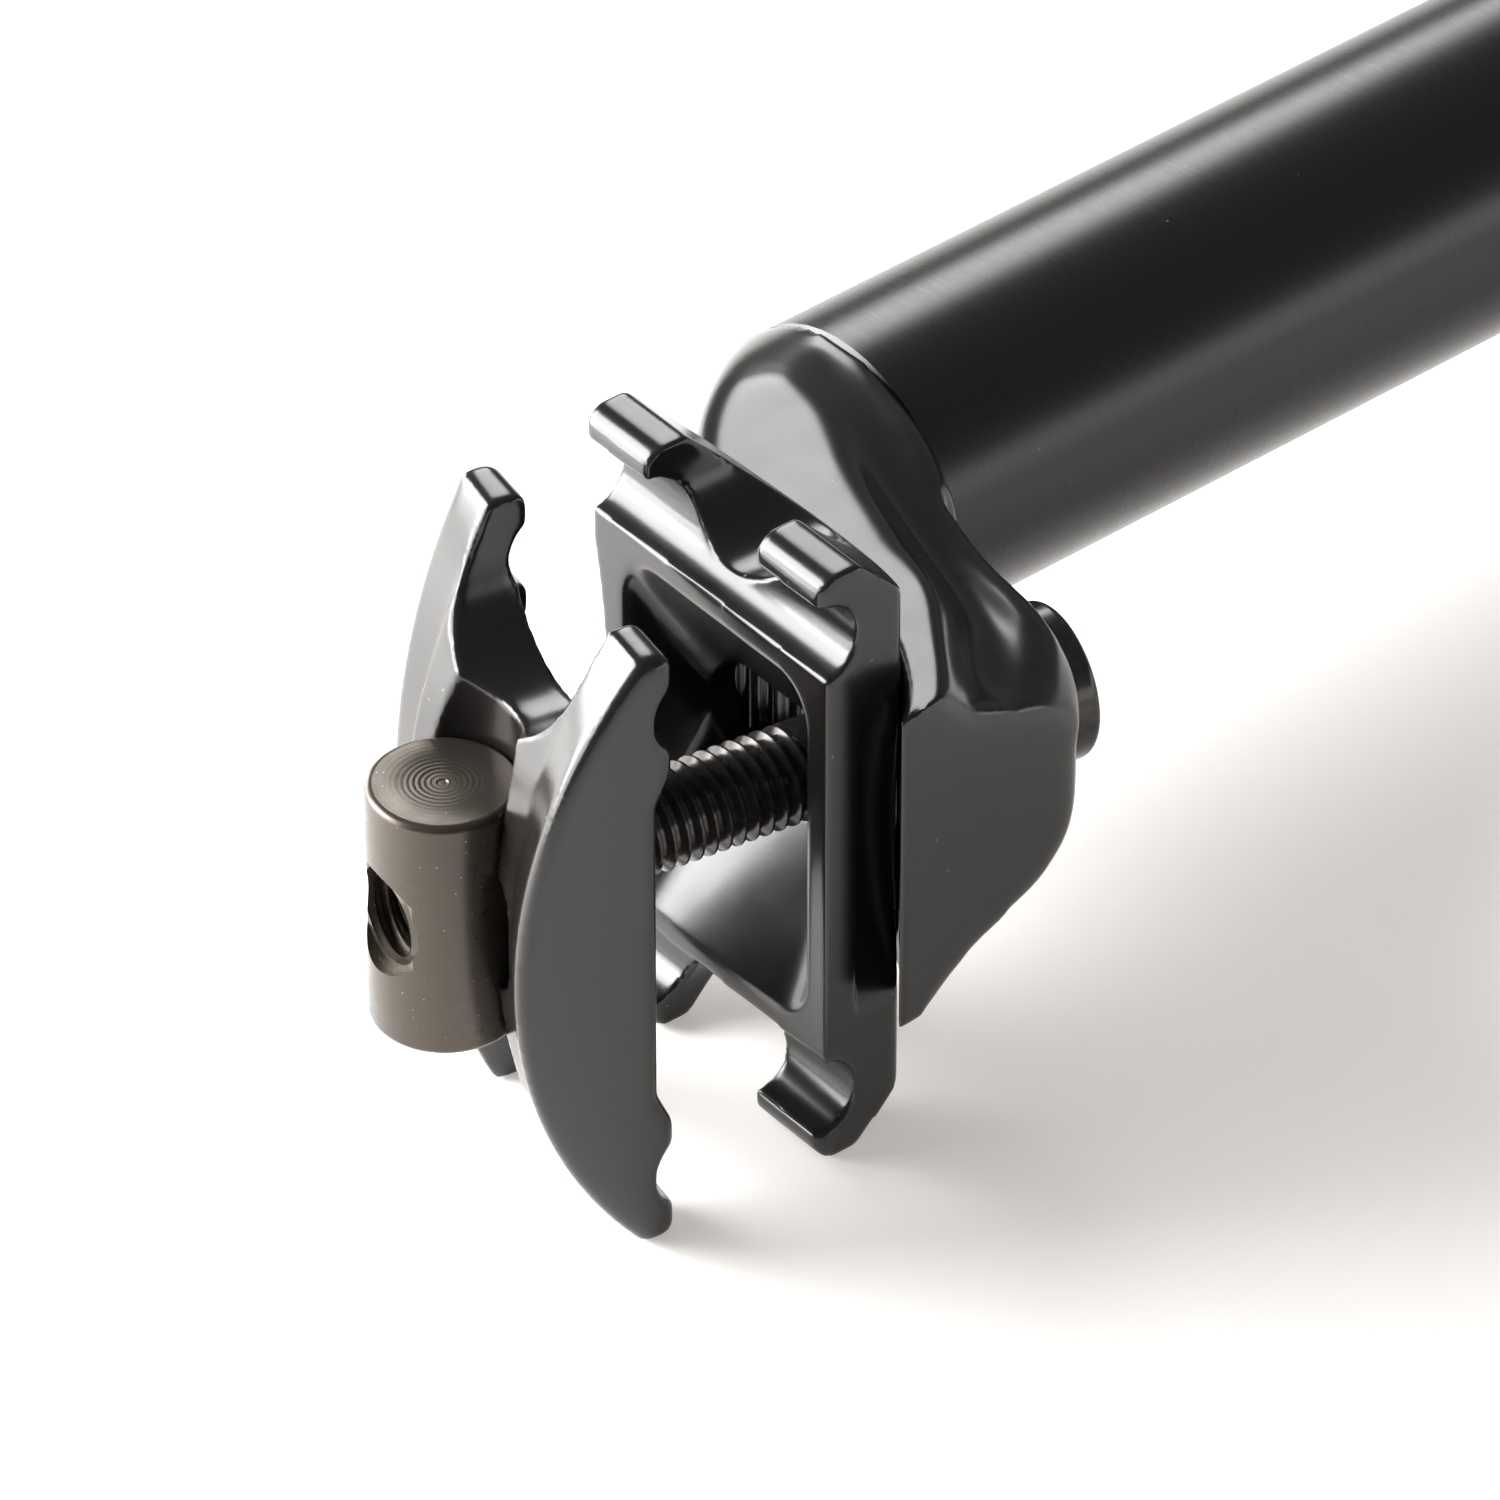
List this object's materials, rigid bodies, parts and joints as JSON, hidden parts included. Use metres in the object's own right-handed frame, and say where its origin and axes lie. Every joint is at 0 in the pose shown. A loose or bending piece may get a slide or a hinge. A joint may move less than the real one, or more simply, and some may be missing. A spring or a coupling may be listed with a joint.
{
  "type": "bicycle seatpost",
  "caption": "Bicycle seatpost lying on its side: a round tube bonded to a forged setback head, with a tilting serrated rail cradle, an upper clamp, a barrel nut and a long clamp bolt.",
  "frame": {"origin": "on the tube's axis, where the tube meets the forged head", "axes": "+X along the tube to its open end, +Z across the bicycle and up while the post lies on its side, -Y to the rear, where the head is set back"},
  "size_m": [0.3801, 0.0556, 0.0564],
  "materials": {
    "anodised_tube": "satin black",
    "painted_forging": "gloss black",
    "nut_steel": "turned, dark",
    "bolt_steel": "black oxide"
  },
  "bodies": {
    "post": {"post_tube": "anodised_tube", "head": "painted_forging"},
    "cradle": {"lower_cradle": "painted_forging"},
    "bolt": {"clamp_bolt": "bolt_steel"},
    "nut": {"barrel_nut": "nut_steel"},
    "clamp": {"upper_clamp": "painted_forging"}
  },
  "joints": [
    {"name": "cradle_tilt", "type": "hinge", "parent": "post", "child": "cradle", "pos_m": [-0.046, -0.023, 0], "axis": [0, 0, 1], "range_deg": [-17.2, 0.8]},
    {"name": "bolt_turn", "type": "hinge", "parent": "post", "child": "bolt", "pos_m": [-0.046, -0.023, 0], "axis": [-0.9839, 0.1788, 0], "range_deg": [-864, 1872]},
    {"name": "nut_travel", "type": "slide", "parent": "post", "child": "nut", "axis": [0.9839, -0.1788, 0], "range_m": [-0.0032, 0.0068]},
    {"name": "clamp_rock", "type": "hinge", "parent": "nut", "child": "clamp", "pos_m": [-0.0581, -0.0208, 0], "axis": [0, 0, 1], "range_deg": [-7.4, 10.6]}
  ],
  "couplings": [
    {"joint": "nut_travel", "follows": "bolt_turn", "m_per_rad": 0.00019894}
  ]
}
